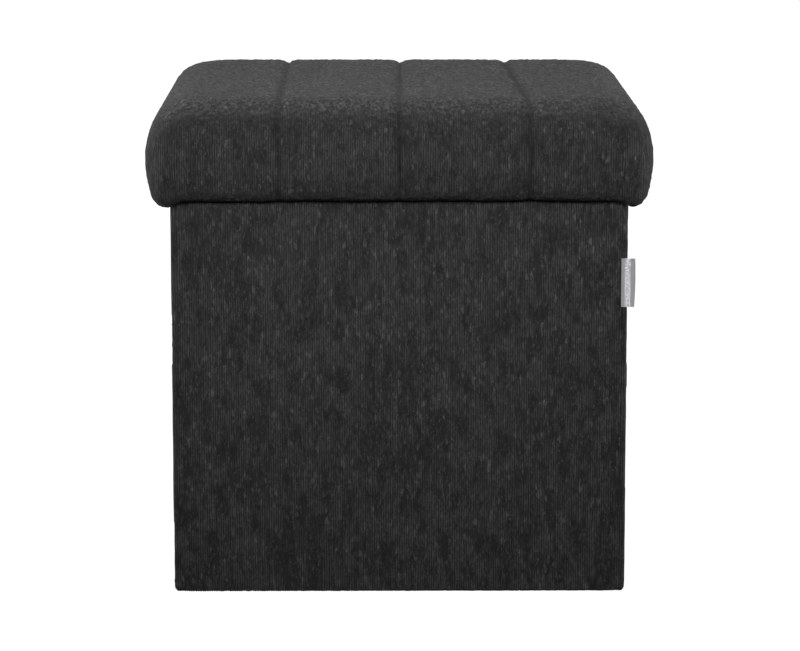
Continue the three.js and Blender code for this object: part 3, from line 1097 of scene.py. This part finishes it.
def make_tag():
    low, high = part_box("seam_tag")
    tall = high.z - low.z
    loop = (high.y - low.y - TAG_TAPE) / 2
    reach = high.x - low.x - loop - TAG_BOW
    cut = 2 * reach + math.pi * loop

    def place(along, up):
        run = along + cut / 2
        share = up / tall
        bow = TAG_BOW * (1 - (2 * share) ** 2) + TAG_SLANT * share
        bend = np.clip((run - reach) / loop, 0, math.pi)
        back = np.maximum(run - reach - math.pi * loop, 0)
        out = np.minimum(run, reach) + loop * np.sin(bend) - back
        x = low.x - TAG_TUCK + out + bow * np.clip(out / reach, 0, 1.2)
        twist = TAG_TWIST * np.clip(out / reach, 0, 1) * share
        y = low.y + loop * (1 - np.cos(bend)) - twist
        z = (low.z + high.z) / 2 + up
        return at(x, y, z)

    tag = lay_cloth("seam_label", cut, tall, 48, SHEET_GRID, place)
    finish_piece(tag, "tag_fabric", TAG_TAPE)
    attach(tag, "front_wall")
    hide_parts("seam_tag")


# Lid

POCKET_GAP = 0.3 * MM  # between the padding and the boards in it
MOUTH_REACH = 20 * MM  # how far the pocket's mouth is cut downwards
FACING_CLOTH = 0.55 * MM
FACING_INSET = 0.1 * MM
FACING_COLUMNS = 400


def copy_of(node, name):
    deselect_all()
    copy = nodes[node].copy()
    copy.data = nodes[node].data.copy()
    bpy.context.scene.collection.objects.link(copy)
    copy.parent = None
    for key in list(copy.keys()):
        del copy[key]
    copy.name = name
    copy.data.name = name
    return copy


def of_pocket(centre, normal):
    """Whether a face of the lid's cover is its underside or looks into its pocket."""
    level = 0.95
    inwards = normal.x * centre.x + normal.y * centre.y < 0
    return normal.z < -level or (abs(normal.z) < level and inwards)


def lid_form():
    """The lid's outer shape as one closed form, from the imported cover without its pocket."""
    form = copy_of("lid_cover", "lid_padding")
    merge_points(form)
    edit(form)
    select_faces(form, of_pocket)
    bpy.ops.mesh.delete(type="FACE")
    bpy.ops.mesh.select_mode(type="EDGE")
    bpy.ops.mesh.select_all(action="DESELECT")
    bpy.ops.mesh.select_non_manifold()
    bpy.ops.mesh.edge_face_add()
    bpy.ops.mesh.select_all(action="SELECT")
    bpy.ops.mesh.normals_make_consistent(inside=False)
    bpy.ops.transform.shrink_fatten(value=-PAD_START_INSET)
    leave_edit()
    return form


def seam_distance(points):
    """Each point's distance to the nearest of the seams that run from front to back."""
    low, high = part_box("lid_cover")
    share = (points[:, 1] - low.y) / (high.y - low.y)
    gaps = [np.abs(points[:, 0] - (front + (back - front) * share)) for front, back in SEAMS]
    return np.min(gaps, axis=0)


def puff(pad, hem_z):
    """Swells the pad between its seams and its hem with a short cloth simulation."""
    start = places(pad)
    outwards = normals_of(pad)
    pins = pad.vertex_groups.new(name="pins")
    sewn = seam_distance(start) < SEAM_PIN_WIDTH
    held = sewn | (start[:, 2] < hem_z + HEM_PIN_RISE)
    pins.add([int(i) for i in np.flatnonzero(held)], 1.0, "REPLACE")
    activate(pad)
    cloth = pad.modifiers.new("puff", "CLOTH")
    cloth.settings.quality = 5
    cloth.settings.mass = 0.15
    cloth.settings.use_pressure = True
    cloth.settings.uniform_pressure_force = PAD_PRESSURE
    cloth.settings.effector_weights.gravity = 0
    cloth.settings.vertex_group_mass = "pins"
    cloth.collision_settings.use_collision = False
    scene = bpy.context.scene
    for step in range(1, PAD_FRAMES + 1):
        scene.frame_set(step)
    bpy.ops.object.modifier_apply(modifier=cloth.name)
    scene.frame_set(1)
    move = places(pad) - start
    length = np.maximum(np.linalg.norm(move, axis=1), 1e-9)
    swelling = np.sum(move * outwards, axis=1) > 0
    cap = PAD_CAP * (1 - PAD_TOP_HOLD * np.maximum(outwards[:, 2], 0))
    share = np.where(swelling, np.minimum(1, cap / length), 0)
    set_places(pad, start + move * share[:, None])
    apply_modifier(pad, "SMOOTH", factor=0.5, iterations=4)
    pad.vertex_groups.clear()


def make_lid_padding():
    low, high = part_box("lid_cover")
    pad = lid_form()
    apply_modifier(pad, "REMESH", mode="VOXEL", voxel_size=PAD_VOXEL, use_smooth_shade=True)
    apply_modifier(pad, "SMOOTH", factor=0.5, iterations=3)
    puff(pad, low.z)
    apply_modifier(pad, "SUBSURF", levels=1, render_levels=1)
    points = places(pad)
    away = seam_distance(points)
    body = np.clip((points[:, 2] - low.z) / CREASE_RISE, 0, 1)
    groove = (GROOVE_DEPTH * np.exp(-(away / GROOVE_WIDTH) ** 2)
              + CREASE_DEPTH * np.exp(-(away / CREASE_WIDTH) ** 2))
    pressed = PAD_TOP_PRESS * np.maximum(normals_of(pad)[:, 2], 0)
    points = points - normals_of(pad) * (groove * body + pressed)[:, None]
    roll = HEM_FULLNESS * np.exp(-((points[:, 2] - low.z - HEM_ROLL) / HEM_ROLL) ** 2)
    points = points + normals_of(pad) * (1, 1, 0) * roll[:, None]
    skirt = np.clip(1 - (points[:, 2] - low.z) / HEM_REACH, 0, 1)
    lowest = points[:, 2].min()
    wave = HEM_WAVE * field(points * (1, 1, 0), HEM_WAVE_SIZE, 1.7)
    out = np.minimum(np.abs(points[:, 0]), np.abs(points[:, 1]))
    near = np.clip((out - HEM_SAG_FROM) / (HEM_SAG_FULL - HEM_SAG_FROM), 0, 1)
    sag = HEM_SAG * near ** 2 * (3 - 2 * near)
    points[:, 2] += skirt * (wave - sag - (lowest - low.z) + HEM_RISE)
    set_places(pad, points)
    rough_up(pad, share=PAD_RELIEF)
    cut_pocket(pad)
    mark_seams(pad)
    finish_piece(pad, "cover_fabric")
    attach(pad, "lid")
    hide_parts("lid_cover", "lid_foam_top", "lid_foam_front", "lid_foam_back",
                "lid_foam_left", "lid_foam_right")


def mark_seams(pad):
    """Keeps on the pad how deep each point lies in a seam, for its cloth to take painted shade there.
    """
    points = places(pad)
    sway = SEAM_SWAY * field(points, SEAM_SWAY_SIZE, 8.2)
    shift = np.stack([sway, np.zeros_like(sway), np.zeros_like(sway)], axis=1)
    away = seam_distance(points + shift)
    broken = 0.75 + 0.5 * field(points, SEAM_SWAY_SIZE, 3.9)
    depth = np.clip(np.exp(-(away / SEAM_SHADE_WIDTH) ** 2) * broken, 0, 1)
    mark = pad.data.attributes.new("painted_seam_shade", "FLOAT", "POINT")
    mark.data.foreach_set("value", depth.astype(np.float32))


def cut_pocket(pad):
    """Leaves room under the padding for the lid's boards, and a throat for its facing."""
    board_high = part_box("lid_board")[1]
    rim_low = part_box("lid_rim_front")[0]
    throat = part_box("lid_facing")[1]
    outer = board_high + Vector((POCKET_GAP, POCKET_GAP, POCKET_GAP))
    wide_x = throat.x + POCKET_GAP
    wide_y = throat.y + POCKET_GAP
    pocket = ("pocket", (-outer.x, -outer.y, rim_low.z - POCKET_GAP), outer)
    mouth = ("mouth", (-wide_x, -wide_y, rim_low.z - MOUTH_REACH), (wide_x, wide_y, rim_low.z))
    for name, low, high in (pocket, mouth):
        block = add_block(name, low, high)
        apply_modifier(pad, "BOOLEAN", operation="DIFFERENCE", object=block, solver="MANIFOLD")
        bpy.data.objects.remove(block)


def make_lid_facing():
    """The lining inside the lid's skirt, tucked up behind the padded hem."""
    low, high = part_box("lid_facing")
    half_x = high.x - FACING_INSET
    half_y = high.y - FACING_INSET
    long = ring_length(half_x, half_y, WALL_RADIUS)
    tall = high.z - low.z
    facing = add_grid("lid_facing_cloth", long, tall, FACING_COLUMNS, 12)
    flat = places(facing)
    x, y = ring_path(flat[:, 0], half_x, half_y, WALL_RADIUS)
    set_places(facing, at(x, y, (low.z + high.z) / 2 + flat[:, 1]))
    merge_points(facing)
    ease(facing, 0.12 * MM, 16 * MM, 4.4)
    finish_piece(facing, "lining_fabric", FACING_CLOTH)
    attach(facing, "lid")
    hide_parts("lid_facing")


def make_lid_lining():
    low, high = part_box("lid_lining")
    width = high.x - low.x
    depth = high.y - low.y
    under = lay_cloth("lid_lining_cloth", width, depth, SHEET_GRID, SHEET_GRID,
                      lambda u, v: at(u, -v, low.z + FACING_INSET))
    ease(under, 0.08 * MM, 30 * MM, 6.1, way=-1)
    finish_piece(under, "lining_fabric", FACE_CLOTH)
    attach(under, "lid")
    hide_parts("lid_lining")


def make_lid():
    make_lid_padding()
    make_lid_facing()
    make_lid_lining()
    for name in ("lid_board", "lid_rim_front", "lid_rim_back", "lid_rim_left", "lid_rim_right"):
        dress(name, board_look)


bpy.context.scene.view_settings.view_transform = "Standard"
deselect_all()
add_camera()
add_floor()
add_lights()
make_walls()
make_foot_hem()
make_floor_cloth()
make_base_lining()
make_pull_tab()
make_hinge_tape()
make_seams()
make_tag()
make_lid()
